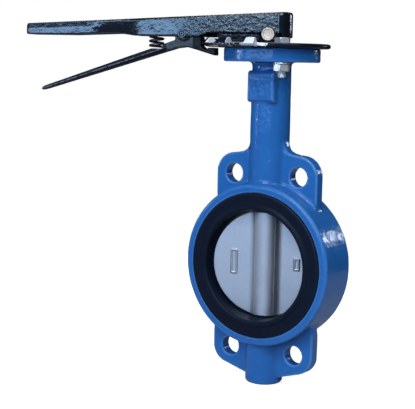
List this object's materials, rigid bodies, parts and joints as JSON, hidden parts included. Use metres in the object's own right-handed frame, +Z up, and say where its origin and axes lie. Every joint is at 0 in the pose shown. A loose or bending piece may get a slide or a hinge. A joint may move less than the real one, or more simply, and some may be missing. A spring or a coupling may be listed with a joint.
{
  "type": "butterfly valve",
  "caption": "Wafer butterfly valve with a rubber lined ring body, a stem driven disc, and a locking hand lever with a squeeze trigger over a notched plate.",
  "frame": {"origin": "where the stem axis crosses the axis of the bore, midway between the pipe flanges", "axes": "+Z up the stem, +Y along the bore from the front face to the back face, +X to the right as seen from the front; closed, the lever points along -X"},
  "size_m": [0.3079, 0.139, 0.3469],
  "materials": {
    "body_enamel": "glossy blue enamel on ductile iron",
    "seat_rubber": "black EPDM, semi-gloss",
    "bush_bronze": "turned bronze",
    "zinc_steel": "bright zinc plate",
    "spring_steel": "blackened spring steel",
    "plate_paint": "glossy black paint, teeth bare",
    "disc_steel": "satin cast stainless steel",
    "stem_steel": "turned stainless steel",
    "o_ring_rubber": "black rubber",
    "lever_paint": "glossy black paint on a rough casting"
  },
  "bodies": {
    "valve_body": {"body": "body_enamel", "seat": "seat_rubber", "upper_bush": "bush_bronze", "middle_bush": "bush_bronze", "lower_bush": "bush_bronze", "thrust_washer": "zinc_steel", "retaining_ring": "spring_steel", "notch_plate": "plate_paint", "plate_bolts": "zinc_steel", "plate_washers": "zinc_steel", "plate_nuts": "zinc_steel"},
    "turning_group": {"disc": "disc_steel", "stem": "stem_steel", "stem_o_rings": "o_ring_rubber", "disc_o_rings": "o_ring_rubber", "lever": "lever_paint", "lever_set_screw": "zinc_steel", "pivot_pin": "lever_paint", "pin_clip": "zinc_steel", "trigger_spring": "spring_steel"},
    "trigger": {"trigger": "lever_paint"}
  },
  "joints": [
    {"name": "lever_turn", "type": "hinge", "parent": "valve_body", "child": "turning_group", "pos_m": [0, 0, 0], "axis": [0, 0, 1], "range_deg": [-18, 72]},
    {"name": "trigger_squeeze", "type": "hinge", "parent": "turning_group", "child": "trigger", "pos_m": [-0.07875, -0.02559, 0.212], "axis": [-0.309, 0.9511, 0], "range_deg": [0, 16], "stiffness_Nm_per_rad": 4, "deforming": ["trigger_spring"]}
  ]
}
